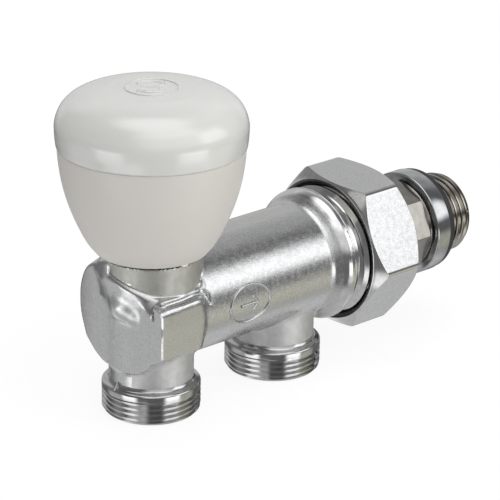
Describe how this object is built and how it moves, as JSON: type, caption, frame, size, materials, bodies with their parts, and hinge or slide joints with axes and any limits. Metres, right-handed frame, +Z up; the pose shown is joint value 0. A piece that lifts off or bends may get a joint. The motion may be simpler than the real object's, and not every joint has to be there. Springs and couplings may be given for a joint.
{
  "type": "radiator valve",
  "caption": "Satin chrome radiator valve with ports side by side below a horizontal barrel, a smooth white tapered knob on top and a union nut with a threaded swivel tail.",
  "frame": {"origin": "centre of the front port's lower face; the valve stands on its port faces", "axes": "+X along the barrel from the knob end to the tail, +Z up through the front port, boss and knob, +Y completes the right-handed frame"},
  "size_m": [0.1235, 0.0458, 0.0813],
  "materials": {
    "satin_plate": "bead-blasted satin chrome plate on brass, polished on machined edges",
    "nickel_plate": "bright nickel plate on turned brass",
    "brass": "turned brass",
    "copper_tube": "drawn tube",
    "steel": "zinc-plated steel",
    "epdm": "matt black rubber",
    "ptfe": "plain",
    "white_cup": "semi-gloss warm white moulding",
    "white_cap": "glossy warm white moulding"
  },
  "bodies": {
    "body": {"valve_body": "satin_plate", "bonnet": "brass", "bonnet_o_ring": "epdm", "gland_nut": "brass", "thrust_washer": "ptfe", "flow_tube": "copper_tube", "flow_tube_o_ring": "epdm"},
    "handwheel": {"spindle": "brass", "spindle_o_rings": "epdm", "knob_insert": "brass", "knob_shell": "white_cup", "knob_cap": "white_cap", "knob_screw": "steel", "knob_screw_washer": "steel"},
    "lift_plug": {"plug_carrier": "brass", "seat_washer": "epdm", "washer_retainer": "brass", "washer_screw": "steel"},
    "union_ring": {"snap_ring": "steel"},
    "nut": {"union_nut": "satin_plate"},
    "tail": {"tail_piece": "nickel_plate", "tail_o_ring": "epdm", "flange_seal": "epdm"}
  },
  "joints": [
    {"name": "knob_turn", "type": "hinge", "parent": "body", "child": "handwheel", "pos_m": [0, 0, 0.045], "axis": [0, 0, 1], "range_deg": [0, 900]},
    {"name": "plug_lift", "type": "slide", "parent": "body", "child": "lift_plug", "axis": [0, 0, 1], "range_m": [0, 0.00375]},
    {"name": "union_draw", "type": "slide", "parent": "body", "child": "union_ring", "axis": [1, 0, 0], "range_m": [0, 0.00462]},
    {"name": "nut_turn", "type": "hinge", "parent": "union_ring", "child": "nut", "pos_m": [0.065, 0, 0.0268], "axis": [1, 0, 0], "range_deg": [0, 720]},
    {"name": "tail_swivel", "type": "hinge", "parent": "union_ring", "child": "tail", "pos_m": [0.08, 0, 0.0268], "axis": [1, 0, 0], "continuous": true}
  ],
  "couplings": [
    {"joint": "plug_lift", "follows": "knob_turn", "m_per_rad": 0.00023873},
    {"joint": "nut_turn", "follows": "union_draw", "rad_per_m": 2721.1}
  ]
}
